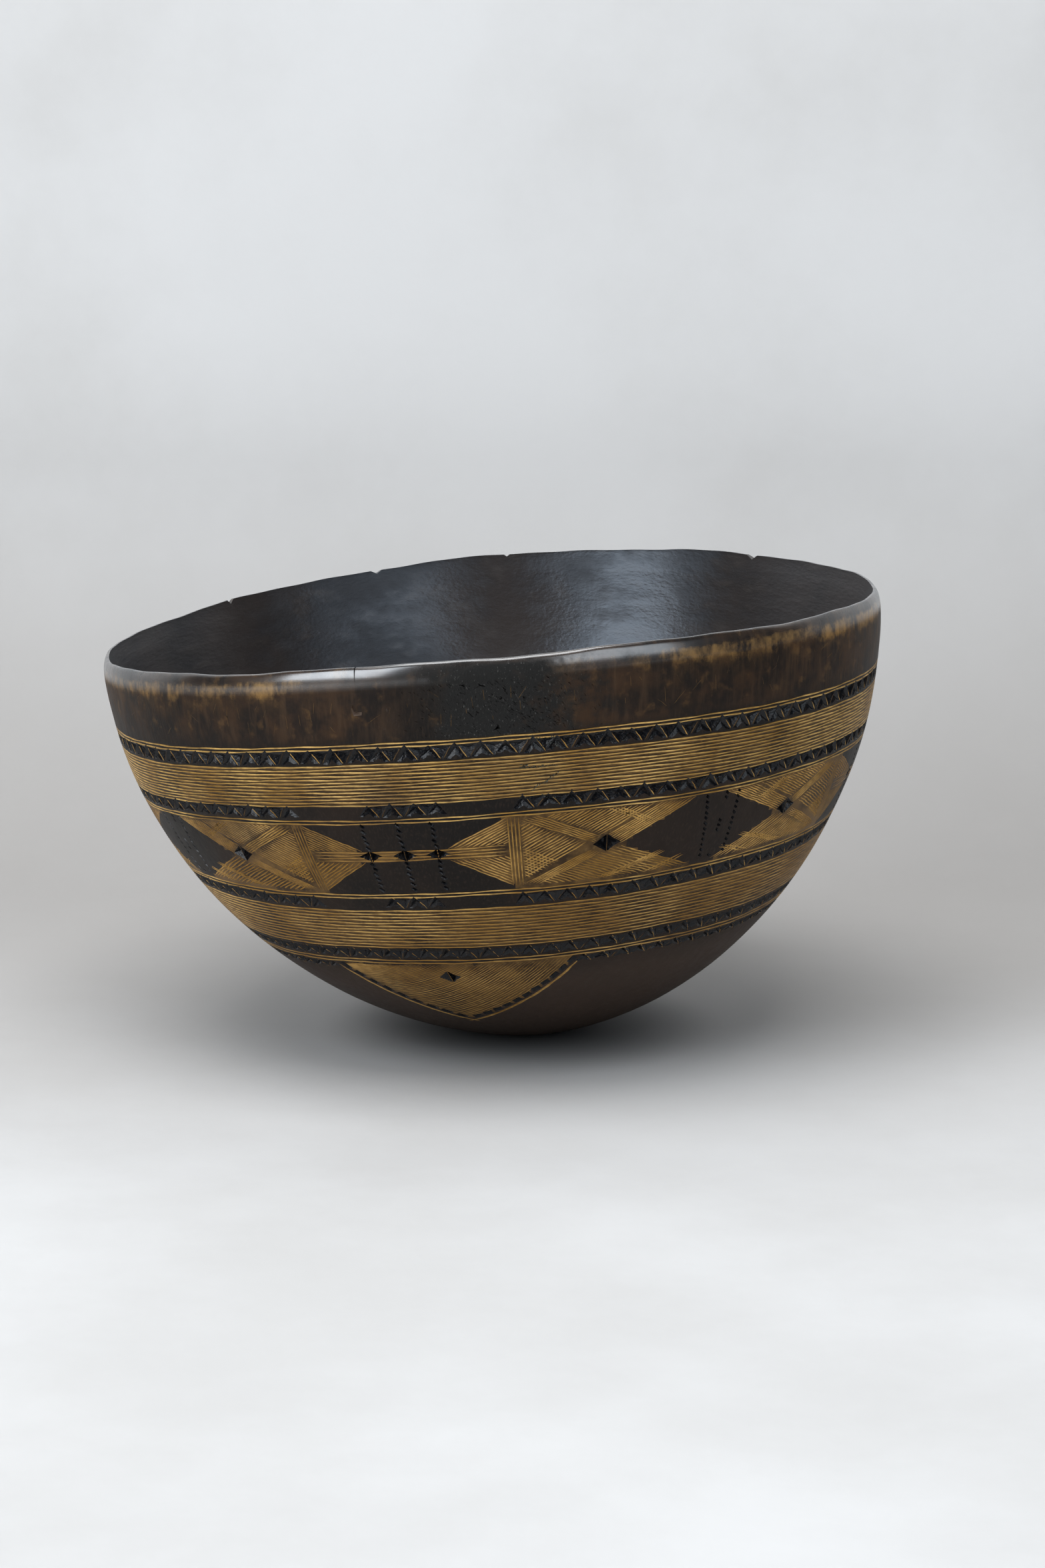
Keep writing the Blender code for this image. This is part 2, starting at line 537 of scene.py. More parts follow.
def lip_wedge(angle, wide, deep):
    """A three-cornered bar that lies across the lip with one edge down."""
    deselect_all()
    bpy.ops.mesh.primitive_cylinder_add(
        vertices=3, radius=1.0, depth=0.016, rotation=(math.radians(90.0), 0.0, 0.0)
    )
    wedge = bpy.context.object
    bpy.ops.object.transform_apply(location=True, rotation=True, scale=True)
    highest = max(vertex.co.z for vertex in wedge.data.vertices)
    turn = Matrix.Rotation(math.radians(angle), 3, "Z")
    for vertex in wedge.data.vertices:
        corner = abs(vertex.co.z - highest) < 0.01
        x = 0.0 if corner else math.copysign(0.75 * wide * MM, vertex.co.x)
        z = LIP_HEIGHT - deep * MM if corner else LIP_HEIGHT + 0.5 * deep * MM
        vertex.co = turn @ Vector((x, vertex.co.y - RIM_RADIUS + LIP_INSET, z))
    make_active(wedge)
    face_outwards()
    return wedge


def faces_in(polygon):
    """Whether a face of the shell looks at the hollow, not at the wall behind it."""
    middle = polygon.center
    return polygon.normal.x * middle.x + polygon.normal.y * middle.y < 0.0 or polygon.normal.z > 0.5


def hollow_sections():
    """(radius, z) points up the inside, over the lip and the shoulder, and down the shell's back."""
    steps = 48
    inside = []
    for step in range(steps + 1):
        depth = (BOWL_DEPTH - FLOOR) * math.sin(0.5 * math.pi * (1.0 - step / steps))
        if depth > STRAIGHT_FROM:
            inside.append((float(inner_radius(depth)), -depth))
    inside[0] = (0.0, inside[0][1])
    low = inside[-1]
    top = (LIP_OUTER - LIP_WIDTH - 0.0005, 0.7 * LIP_HEIGHT)
    for step in range(1, 8):
        inside.append(tuple(start + (end - start) * step / 8 for start, end in zip(low, top)))
    lip = [(LIP_OUTER - LIP_WIDTH, 0.8 * LIP_HEIGHT), (LIP_OUTER - 0.8 * LIP_WIDTH, LIP_HEIGHT)]
    for step in range(1, 13):
        turn = 0.5 * math.pi * step / 12
        lip.append((LIP_OUTER + LIP_INSET * math.sin(turn), LIP_HEIGHT * math.cos(turn)))
    back = []
    for step in range(25):
        depth = (BOWL_DEPTH - FLOOR) * math.sin(0.5 * math.pi * step / 24)
        radius = float(inner_radius(depth)) + LINER_THICKNESS
        back.append((radius, -depth - LINER_THICKNESS * step / 24))
    back[-1] = (0.0, back[-1][1])
    return inside + lip + back


NEAR_INSIDE = 0.0030  # faces this far behind the inside's own radius can still belong to it


def hollow_finish(polygon):
    """Skin over the shoulder, rubbed wood inside, and hidden wood on the shell's back."""
    middle = polygon.center
    radius = math.hypot(middle.x, middle.y)
    if middle.z > 0.0:
        return SKIN if radius > LIP_OUTER - 0.5 * LIP_WIDTH else INSIDE
    near_inside = radius < float(inner_radius(-middle.z)) + NEAR_INSIDE
    return INSIDE if near_inside and faces_in(polygon) else RAW


def hollow():
    """The inside of the bowl, its thin lip and the rounded shoulder, as one shell."""
    piece = turned("hollow_and_lip", hollow_sections())
    for polygon in piece.data.polygons:
        polygon.material_index = hollow_finish(polygon)
    for nick in LIP_NICKS:
        cut(piece, lip_wedge(*nick), SKIN)
    finished(piece, 0.0, 190.0, 2)


# ---- zigzags and chips


def hanging_chip():
    """A three-cornered pit with its base above and its tip below."""
    deep = (0.2, 0.7, 1.5)
    return pit("hanging_chip", [(-4.9, 3.1), (0.0, -3.2), (4.9, 3.1)], [deep] * 3)


def standing_chip():
    """A pit like a tent: two legs under one tip, round a scrap of skin left at the base."""
    outline = [(0.0, 4.7), (-4.7, -2.9), (-2.4, -3.0), (0.0, -1.3), (2.4, -3.0), (4.7, -2.9)]
    peak = (0.1, 0.9, 1.35)
    left = (-2.9, -1.9, 0.8)
    right = (2.9, -1.9, 0.8)
    return pit("standing_chip", outline, [peak, left, left, peak, right, right])


# The two chips above are drawn for a tooth of this width and height, in mm
TOOTH_WIDTH = 10.4
TOOTH_HEIGHT = 6.2


def zigzag(piece, depth, height, period, runs):
    """Cuts a zigzag along each run of (first angle, last angle), tips up, and marks the ridges left."""
    hanging = []
    standing = []
    ridges = []
    backs = []
    for first, last in runs:
        count = max(1, round((last - first) / period))
        step = (last - first) / count
        wide = step * millimetres_per_degree(depth) / TOOTH_WIDTH
        tall = height / TOOTH_HEIGHT
        for tooth in range(count + 1):
            sway = 0.10 * math.sin(3.7 * tooth + first)
            grow = 1.0 + 0.12 * math.sin(2.3 * tooth + 0.7 * first)
            place = first + step * (tooth + sway * 0.5)
            standing.append((place, depth, 30.0 * sway, wide * 0.93, tall * grow))
            if tooth < count:
                middle = first + step * (tooth + 0.5 + 0.4 * sway)
                hanging.append((middle, depth, -20.0 * sway, wide * 0.90, tall))
                top = (place + 0.09 * step, depth - 3.4 * tall)
                ridges.append((top, (place + 0.44 * step, depth + 2.9 * tall)))
                other = place + step
                top = (other - 0.09 * step, depth - 3.2 * tall)
                backs.append((top, (other - 0.44 * step, depth + 2.6 * tall)))
    cut_chips(piece, standing_chip(), standing)
    cut_chips(piece, hanging_chip(), hanging)
    cut_strokes(piece, ridges, 0.40, 0.14)
    cut_strokes(piece, backs, 0.34, 0.10, RUBBED)


WAX_SCALE = 2.8  # millimetres to a degree, where the wax lies
WAX_PITCH = 0.75


def wax_specks(path, seed):
    """Specks of old grey wax, strewn along a path of (angle, depth) places."""
    draw = random.Random(seed)
    specks = []
    for start, end in zip(path, path[1:]):
        run = math.hypot((end[0] - start[0]) * WAX_SCALE, end[1] - start[1])
        count = max(1, round(run / WAX_PITCH))
        for speck in range(count):
            share = speck / count
            angle = start[0] + (end[0] - start[0]) * share + draw.uniform(-0.10, 0.10)
            depth = start[1] + (end[1] - start[1]) * share + draw.uniform(-0.25, 0.25)
            specks.append((angle, depth, draw.uniform(0.0, 180.0), draw.uniform(0.30, 0.55), 0.32))
    return specks


def cut_copies(piece, template, places, shape, finish):
    """Cuts a copy of the template at each place, and does away with the template."""
    cutter = copies(template, places, shape)
    bpy.data.objects.remove(template, do_unlink=True)
    cut(piece, cutter, finish)


def cut_chips(piece, template, places, finish=SCORCHED):
    cut_copies(piece, template, places, chip_shape, finish)


def cut_strokes(piece, strokes, width=0.50, cut_mm=0.26, finish=PALE):
    places = [(start, end, width, cut_mm) for start, end in strokes]
    cut_copies(piece, stroke_cutter(), places, stroke_shape, finish)


def torn_grain(tries, seed):
    """Short nicks where the end grain tore out, closer and bolder along a slanting tear."""
    draw = random.Random(seed)
    nicks = []
    for nick in range(tries):
        angle = draw.uniform(-14.0, 16.0)
        depth = draw.uniform(-0.5, 24.0)
        tear = abs(angle - (1.0 + 0.42 * (depth - 2.0)))
        edge = min(angle + 14.0, 16.0 - angle) / 6.0
        if draw.random() > (0.30 + 0.70 * math.exp(-tear / 2.6)) * min(1.0, edge) or depth < 1.0:
            continue
        long = draw.uniform(0.10, 0.42)
        nicks.append(((angle, depth), (angle + long, depth + draw.uniform(0.3, 1.3))))
    return nicks


SCRATCHES = 230


def scratches(seed):
    """Fine scratches that use has left in the smooth skin under the rim."""
    draw = random.Random(seed)
    marks = []
    for mark in range(SCRATCHES):
        angle = -180.0 + 360.0 * (mark + draw.uniform(0.0, 1.0)) / SCRATCHES
        depth = draw.uniform(2.0, 17.0)
        across = draw.uniform(-1.0, 1.0) ** 3 * 2.0
        marks.append(((angle, depth), (angle + across, depth + draw.uniform(1.5, 6.5))))
    return marks


def gouge():
    """A crooked hole where a splinter has gone."""
    outline = [(-0.7, 2.6), (-0.5, -0.6), (2.9, -1.3), (2.7, -2.6), (-1.0, -2.9), (-1.6, 0.4)]
    low = (0.0, -1.6, 1.3)
    return pit("gouge", outline, [(-0.9, 1.0, 0.9), low, low, low, low, (-0.9, 1.0, 0.9)])


def rim_band():
    piece = ring("rim_band", 0.0, RIM_ENDS, [RIM_ENDS])
    cut_strokes(piece, scratches(3), 0.15, 0.05, RUBBED)
    cut_strokes(piece, torn_grain(900, 5), 0.30, 0.20, SKIN)
    cut_chips(piece, gouge(), [(-18.4, 9.5, 0.0, 1.0, 1.0)], RAW)
    finished(piece, 0.0, RIM_ENDS, 7)


# Where old wax lies: runs of (angle, depth) places
WAX_PATHS = (
    ((4.9, 26.0), (6.6, 27.3), (8.6, 26.5)),
    ((5.0, 29.4), (6.4, 31.2), (8.2, 29.0), (8.9, 31.6)),
    ((3.3, 39.2), (4.3, 39.6), (3.6, 38.2), (4.6, 38.6)),
    ((5.0, 39.6), (6.4, 39.4), (8.8, 39.6)),
    ((8.7, 43.4), (7.6, 44.8), (6.6, 47.0), (5.4, 48.2), (4.7, 50.6)),
    ((6.2, 52.6), (7.2, 54.6), (8.4, 53.8)),
)


def upper_bands():
    lines = list(UPPER_DOUBLE) + UPPER_FIELD + list(FRIEZE_TOP_DOUBLE)
    piece = ring("upper_bands", RIM_ENDS, UPPER_ENDS, lines)
    zigzag(piece, 29.9, 6.0, 3.53, [(-180.0 + 1.76, 180.0 - 1.76)])
    zigzag(piece, 55.4, 5.6, 3.62, [(-19.3, -8.9), (3.4, 172.0), (-174.0, -32.6)])
    specks = []
    for row, path in enumerate(WAX_PATHS):
        specks += wax_specks(path, row)
    cut_chips(piece, bead(), specks, WAX)
    finished(piece, RIM_ENDS, UPPER_ENDS, 6)


def lower_bands():
    lines = list(FRIEZE_LOW_DOUBLE) + LOWER_FIELD
    piece = ring("lower_bands", FRIEZE_ENDS, LOWER_ENDS, lines)
    zigzag(piece, 101.2, 5.6, 3.75, [(-20.0, -12.5), (2.0, 174.0), (-172.0, -35.0)])
    finished(piece, FRIEZE_ENDS, LOWER_ENDS, 5)


# ---- the frieze


# Each unit of the frieze, round its trio of stars: the angle of its middle, and how far the middles of
# the lozenges to its right and left are
TRIOS = (
    (-15.5, 50.0, 48.0),
    (81.5, 44.9, 50.0),
    (168.3, 41.9, 41.9),
    (252.1, 44.4, 42.4),
)
HALF_UNIT = 50.0  # degrees that the strokes below are drawn for

# Fans of strokes in the right half of a unit: the first stroke's ends, the last one's, and how many. Each
# end is (angle from the unit's middle, depth). Strokes of one group never cross.
RISING = (
    ((7.0, 74.3), (16.3, 61.8), (15.4, 74.3), (16.3, 73.0), 10),
    ((18.2, 66.5), (19.2, 65.0), (18.2, 90.5), (28.0, 76.8), 18),
    ((22.2, 63.2), (23.4, 61.8), (30.2, 73.6), (38.6, 61.8), 18),
    ((31.2, 74.6), (40.0, 61.8), (33.4, 78.6), (45.6, 61.8), 8),
)
FALLING = (
    ((7.0, 80.0), (16.3, 94.2), (15.4, 80.0), (16.3, 81.4), 10),
    ((18.4, 63.6), (29.4, 77.2), (20.6, 61.9), (30.2, 74.6), 5),
    ((18.2, 77.0), (23.6, 84.6), (18.2, 89.5), (19.0, 90.7), 10),
    ((21.0, 93.2), (22.4, 94.8), (30.4, 82.4), (41.6, 94.8), 18),
    ((31.0, 81.4), (43.2, 94.8), (33.6, 80.2), (46.2, 94.8), 4),
    ((31.5, 61.8), (37.5, 70.0), (33.3, 61.8), (38.6, 69.2), 3),
)
STRAP = (
    ((-0.2, 74.9), (15.6, 74.9), (-0.2, 79.2), (15.6, 79.2), 4),
    ((16.4, 61.8), (16.2, 94.6), (18.0, 61.8), (17.8, 94.6), 4),
)
BINDING = (
    ((18.4, 93.6), (29.0, 80.4), (20.4, 94.4), (30.2, 82.2), 5),
    ((29.5, 94.6), (40.5, 85.2), (31.0, 94.8), (41.3, 86.0), 3),
    ((38.0, 94.8), (44.5, 89.0), (39.4, 94.8), (44.9, 89.8), 2),
)


def fan(first_start, first_end, last_start, last_end, count):
    """Strokes spread evenly from the first to the last."""
    strokes = []
    for stroke in range(count):
        share = stroke / (count - 1)
        ends = []
        for a, b in ((first_start, last_start), (first_end, last_end)):
            ends.append((a[0] + (b[0] - a[0]) * share, a[1] + (b[1] - a[1]) * share))
        strokes.append(tuple(ends))
    return strokes


def in_hatched_field(angle, depth):
    """Whether a place of the frieze lies in a hatched field, and not in a plain dark panel."""
    for middle, right_gap, left_gap in TRIOS:
        offset = (angle - middle + 180.0) % 360.0 - 180.0
        gap = right_gap if offset > 0.0 else left_gap
        off = abs(offset) * HALF_UNIT / gap
        if off > 51.0:
            continue
        if off > 25.0:
            return off < 33.5 + (0.70 * max(79.4 - depth, 0.0) + 0.84 * max(depth - 79.4, 0.0))
        if depth < 74.4:
            return off > 7.0 + 0.745 * (74.4 - depth)
        if depth > 79.9:
            return off > 7.0 + 0.655 * (depth - 79.9)
        return True
    return False


def round_the_frieze(group):
    """A group's strokes, mirrored and repeated round the bowl."""
    strokes = [stroke for row in group for stroke in fan(*row)]
    placed = []
    for middle, right_gap, left_gap in TRIOS:
        for stretch in (right_gap / HALF_UNIT, -left_gap / HALF_UNIT):
            for start, end in strokes:
                placed.append(
                    ((middle + stretch * start[0], start[1]), (middle + stretch * end[0], end[1]))
                )
    return placed


def half_diamond():
    """The right half of a four-cornered black star."""
    outline = [(0.12, 4.7), (0.12, -4.7), (3.0, -2.2), (6.3, 0.1), (3.2, 2.1)]
    deep = (2.0, 0.0, 2.6)
    return pit("half_diamond", outline, [(0.9, 1.2, 1.9), (0.9, -1.2, 1.9), deep, deep, deep])


def bead():
    """One short nick of a dotted column."""
    outline = [(-0.5, 1.45), (-1.05, 0.3), (0.3, -1.25), (1.1, -0.2)]
    return pit("bead", outline, [(0.0, 0.2, 1.5)] * 4)


def trio_and_lozenge(middle, right_gap, left_gap):
    """The places of the black stars and of the beads of the dotted columns of one unit."""
    stars = []
    beads = []
    for offset in (-5.5, 0.1, 5.3):
        for turn in (0.0, 180.0):
            stars.append((middle + offset, 77.0, turn, 0.86, 0.66))
        for top, pitch, count, beat, phase in ((62.4, 2.7, 5, 2.1, offset), (81.0, 2.6, 6, 2.4, -offset)):
            for step in range(count):
                sway = 0.12 * math.sin(beat * step + phase)
                beads.append((middle + offset + sway, top + pitch * step, 20.0 * sway, 1.35, 1.15))
    for side, gap in ((1.0, right_gap), (-1.0, left_gap)):
        star = middle + side * gap * 31.3 / HALF_UNIT
        stars += [(star, 78.0, 0.0, 1.0, 1.0), (star, 78.0, 180.0, 1.0, 1.0)]
    lozenge = middle + right_gap
    for top, bottom in ((-2.2, -1.5), (3.8, 3.1)):
        for step in range(12):
            share = step / 11
            beads.append((lozenge + top + (bottom - top) * share, 63.0 + 29.0 * share, 8.0, 1.0, 1.0))
    for depth in (62.6, 65.0, 76.0, 78.4, 80.8, 93.0):
        beads.append((lozenge + 1.5 - 1.2 * (depth - 61.0) / 33.0, depth, 8.0, 1.0, 1.0))
    return stars, beads


def frieze():
    piece = ring("frieze", UPPER_ENDS, FRIEZE_ENDS, [UPPER_ENDS, FRIEZE_ENDS])
    for group in (RISING, FALLING, STRAP, BINDING):
        cut_strokes(piece, round_the_frieze(group))
    stars = []
    beads = []
    for trio in TRIOS:
        for places, more in zip((stars, beads), trio_and_lozenge(*trio)):
            places += more
    cut_chips(piece, half_diamond(), stars)
    cut_chips(piece, bead(), beads)
    rub(piece, in_hatched_field)
    finished(piece, UPPER_ENDS, FRIEZE_ENDS, 5)


# ---- the underside


TRIANGLES = (0.0, 184.0)  # how far round each hanging triangle lies from the front one
TRIANGLE_CORNERS = ((-41.0, 134.6), (11.3, 134.6), (-20.0, 168.0))
HATCH_STROKES = 62
CAP_STARTS = 188.0  # depth from which the rows close in on the lowest point
STAR_IN_TRIANGLE = (-16.4, 141.5)


def dash():
    """One long nick of a dashed border."""
    outline = [(-2.1, -0.9), (1.5, -1.2), (2.1, 0.9), (-1.5, 1.2)]
    low = (-0.9, 0.0, 0.9)
    high = (0.9, 0.0, 0.9)
    return pit("dash", outline, [low, high, high, low])


def crossing(start, run, first, second):
    """Where the line from start along run meets the line through first and second."""
    edge = second - first
    reach = first - start
    across = run.x * edge.y - run.y * edge.x
    return start + run * ((reach.x * edge.y - reach.y * edge.x) / across)


def same_side(place, other, first, second):
    """Whether two places lie on the same side of the line through first and second."""
    edge = second - first
    sides = [edge.x * (point - first).y - edge.y * (point - first).x for point in (place, other)]
    return sides[0] * sides[1] >= 0.0


def border(corner, tip, middle):
    """One side's border: the pale edge as a stroke, and the places of the dashes along it."""
    run = (tip - corner).normalized()
    out = Vector((run.y, -run.x))
    if out.dot(corner - middle) < 0.0:
        out = -out
    edge = (corner + out * 3.4, tip + out * 3.2 + run * 5.0, 1.3, 0.35)
    length = (tip - corner).length
    nicks = round(length / 7.0)
    swing = math.degrees(math.atan2(run.y, run.x))
    dashes = []
    for nick in range(nicks):
        place = corner + run * (length * (nick + 0.35) / nicks)
        dashes.append((place, swing + 5.0 * math.sin(5.0 * nick), 1.45, 1.5))
    return edge, dashes


def hanging_triangle(piece, turn):
    """A hatched triangle under the lowest line, with a dashed border and a black star."""
    left, right, tip = (base_place(angle + turn, depth) for angle, depth in TRIANGLE_CORNERS)
    middle = (left + right + tip) / 3.0
    (left_angle, top), (right_angle, _), _ = TRIANGLE_CORNERS
    hatch = []
    for stroke in range(1, HATCH_STROKES):
        angle = right_angle + (left_angle - right_angle) * stroke / HATCH_STROKES
        start = base_place(angle + turn, top)
        hatch.append((start, crossing(start, tip - right, left, tip), 0.40, 0.20))
    cut_copies(piece, stroke_cutter(), hatch, base_stroke_shape, PALE)
    dashes = []
    for corner in (left, right):
        edge, more = border(corner, tip, middle)
        cut_copies(piece, stroke_cutter(), [edge], base_stroke_shape, PALE)
        dashes += more
    cut_copies(piece, dash(), dashes, base_chip_shape, SCORCHED)
    stand = turn + STAR_IN_TRIANGLE[0]
    star = base_place(stand, STAR_IN_TRIANGLE[1])
    for half in (0.0, 180.0):
        cut_copies(piece, half_diamond(), [(star, stand + half, 0.9, 1.0)], base_chip_shape, SCORCHED)
    edges = ((right, tip), (tip, left))

    def inside(angle, depth):
        place = base_place(angle, depth)
        return depth >= top and all(same_side(place, middle, *edge) for edge in edges)

    rub(piece, inside)


def underside():
    front = skin_points(LOWER_ENDS, CAP_STARTS, list(LOWER_DOUBLE), step=3.0)
    for step in range(1, 9):
        share = math.sin(0.5 * math.pi * step / 8)
        depth = CAP_STARTS * MM + (BOWL_DEPTH - CAP_STARTS * MM) * share
        front.append((float(outer_radius(depth)), -depth))
    front[-1] = (0.0, -BOWL_DEPTH)
    back = [(0.0, -BOWL_DEPTH + RING_THICKNESS * 1.5)]
    for step in range(1, 12):
        depth = (BOWL_DEPTH / MM - 6.0) * math.cos(0.5 * math.pi * step / 12 * 0.55) - 0.5
        depth = max(depth, LOWER_ENDS + 8.0)
        back.append((float(outer_radius(depth * MM)) - RING_THICKNESS * 1.6, -depth * MM + 0.001))
    back = [p for p in back if p[0] >= 0.0]
    back.append((float(outer_radius(LOWER_ENDS * MM)) - RING_THICKNESS, -LOWER_ENDS * MM))
    piece = turned("underside", front + back)
    finish_faces(piece)
    zigzag(piece, 128.4, 5.4, 4.1, [(-180.0 + 2.05, 180.0 - 2.05)])
    zigzag(piece, 136.0, 4.2, 4.3, [(13.0, 141.0), (-165.0, -44.0)])
    for turn in TRIANGLES:
        hanging_triangle(piece, turn)
    finished(piece, LOWER_ENDS, BOWL_DEPTH / MM, 2, worn_flat=True)


# ---- finishes


class Value:
    """A number in a shader. Arithmetic on it adds Math nodes."""

    def __init__(self, finish, socket):
        self.finish = finish
        self.socket = socket

    def math(self, operation, first, second=0.0):
        made = self.finish.node("ShaderNodeMath", {"operation": operation}, {0: first, 1: second})
        return Value(self.finish, made.outputs[0])

    def __add__(self, other):
        return self.math("ADD", self, other)

    def __sub__(self, other):
        return self.math("SUBTRACT", self, other)

    def __mul__(self, other):
        return self.math("MULTIPLY", self, other)

    def __rsub__(self, other):
        return self.math("SUBTRACT", other, self)

    __radd__ = __add__
    __rmul__ = __mul__


class Finish:
    """A material in the making. node() is the one way in which it gets its nodes."""

    def __init__(self, name, colour, roughness, gloss=0.5):
        self.material = bpy.data.materials.new(name)
        self.material.use_nodes = True
        self.tree = self.material.node_tree
        self.shader = self.tree.nodes["Principled BSDF"]
        self.shader.inputs["Base Color"].default_value = (*colour, 1.0)
        self.shader.inputs["Roughness"].default_value = roughness
        self.shader.inputs["Specular IOR Level"].default_value = gloss
        self.object_place = self.node("ShaderNodeTexCoord").outputs["Object"]

    def node(self, kind, settings=None, values=None):
        made = self.tree.nodes.new(kind)
        for name, value in (settings or {}).items():
            setattr(made, name, value)
        for name, value in (values or {}).items():
            self.feed(made.inputs[name], value)
        return made

    def feed(self, socket, value):
        source = value.socket if isinstance(value, Value) else value
        if isinstance(source, bpy.types.NodeSocket):
            self.tree.links.new(source, socket)
        elif isinstance(source, tuple) and len(source) == 3 and socket.type == "RGBA":
            socket.default_value = (*source, 1.0)
        else:
            socket.default_value = source

    def noise(self, scale, detail=3.0, stretch=(1.0, 1.0, 1.0), shift=(0.0, 0.0, 0.0), roughness=0.55):
        """Noise on the wood, in features per metre, stretched along an axis where its factor is small."""
        place = self.node(
            "ShaderNodeMapping", None, {"Vector": self.object_place, "Scale": stretch, "Location": shift}
        )
        made = self.node(
            "ShaderNodeTexNoise",
            None,
            {"Vector": place.outputs[0], "Scale": scale, "Detail": detail, "Roughness": roughness},
        )
        return Value(self, made.outputs["Fac"])

    def wall(self):
        """(angle in degrees, depth in mm) on the wall map."""
        place = self.node("ShaderNodeUVMap", {"uv_map": "wall"}).outputs[0]
        parts = self.node("ShaderNodeSeparateXYZ", None, {0: place})
        angle = Value(self, parts.outputs[0]) * (180.0 / math.pi / RIM_RADIUS)
        return angle, Value(self, parts.outputs[1]) * 1000.0

    def place(self):
        """The place on the piece, in its own metres: x, y and z."""
        parts = self.node("ShaderNodeSeparateXYZ", None, {0: self.object_place})
        return [Value(self, socket) for socket in parts.outputs]

    def step(self, value, low, high):
        """0 below low, 1 above high, smooth between. It runs the other way if low is above high."""
        made = self.node(
            "ShaderNodeMapRange",
            {"interpolation_type": "SMOOTHSTEP"},
            {"Value": value, "From Min": min(low, high), "From Max": max(low, high),
             "To Min": 0.0 if low < high else 1.0, "To Max": 1.0 if low < high else 0.0},
        )
        return Value(self, made.outputs[0])

    def mix(self, factor, first, second):
        made = self.node("ShaderNodeMix", {"data_type": "RGBA"}, {0: factor, 6: first, 7: second})
        return made.outputs[2]

    def bump(self, height, strength, distance):
        values = {"Height": height, "Strength": strength, "Distance": distance}
        self.wear({"Normal": self.node("ShaderNodeBump", None, values).outputs[0]})

    def wear(self, looks):
        """Feeds each named input of the shader."""
        for name, value in looks.items():
            self.feed(self.shader.inputs[name], value)


def worn_to_ochre(finish, colour, cloud, blotch, streak):
    """The skin is rubbed down to ochre under the shoulder, at the sides, and has run down in places."""
    angle, depth = finish.wall()
    ragged = 14.0 * (blotch - 0.5) + 3.0 * (streak - 0.5)
    under_shoulder = finish.step(depth + ragged, 3.6, 0.0) * finish.step(depth + 0.4 * ragged, -5.0, -3.0)
    sides = finish.step(angle, -20.0, -30.0) * finish.step(angle, -100.0, -74.0)
    sides = sides + finish.step(angle, 16.0, 26.0) * finish.step(angle, 110.0, 70.0)
    behind = finish.step(cloud, 0.50, 0.60) * 0.5
    smudge = finish.noise(95.0, 6.0, stretch=(1.0, 1.0, 0.7), shift=(4.0, 4.0, 0.0), roughness=0.72)
    ochre = under_shoulder * (sides + behind) * finish.step(0.75 * smudge + 0.25 * streak, 0.40, 0.66)
    colour = finish.mix(ochre * 0.85, colour, (0.30, 0.165, 0.050))
    runs = finish.step(depth + 30.0 * (smudge - 0.5), 15.0, 1.0) * finish.step(depth, -4.0, 0.0) * sides
    return finish.mix(runs * finish.step(smudge, 0.44, 0.70) * 0.5, colour, (0.13, 0.068, 0.022))


def torn_patch(finish, cloud, blotch):
    """Where the end grain is torn, at the front of the rim."""
    angle, depth = finish.wall()
    patch = finish.step(angle + 40.0 * (cloud - 0.5) + 24.0 * (blotch - 0.5), -17.0, -8.0)
    patch = patch * finish.step(angle + 34.0 * (blotch - 0.5), 19.0, 8.0)
    return patch * finish.step(depth, 27.0, 23.0) * finish.step(depth + 8.0 * (blotch - 0.5), -8.0, -4.5)


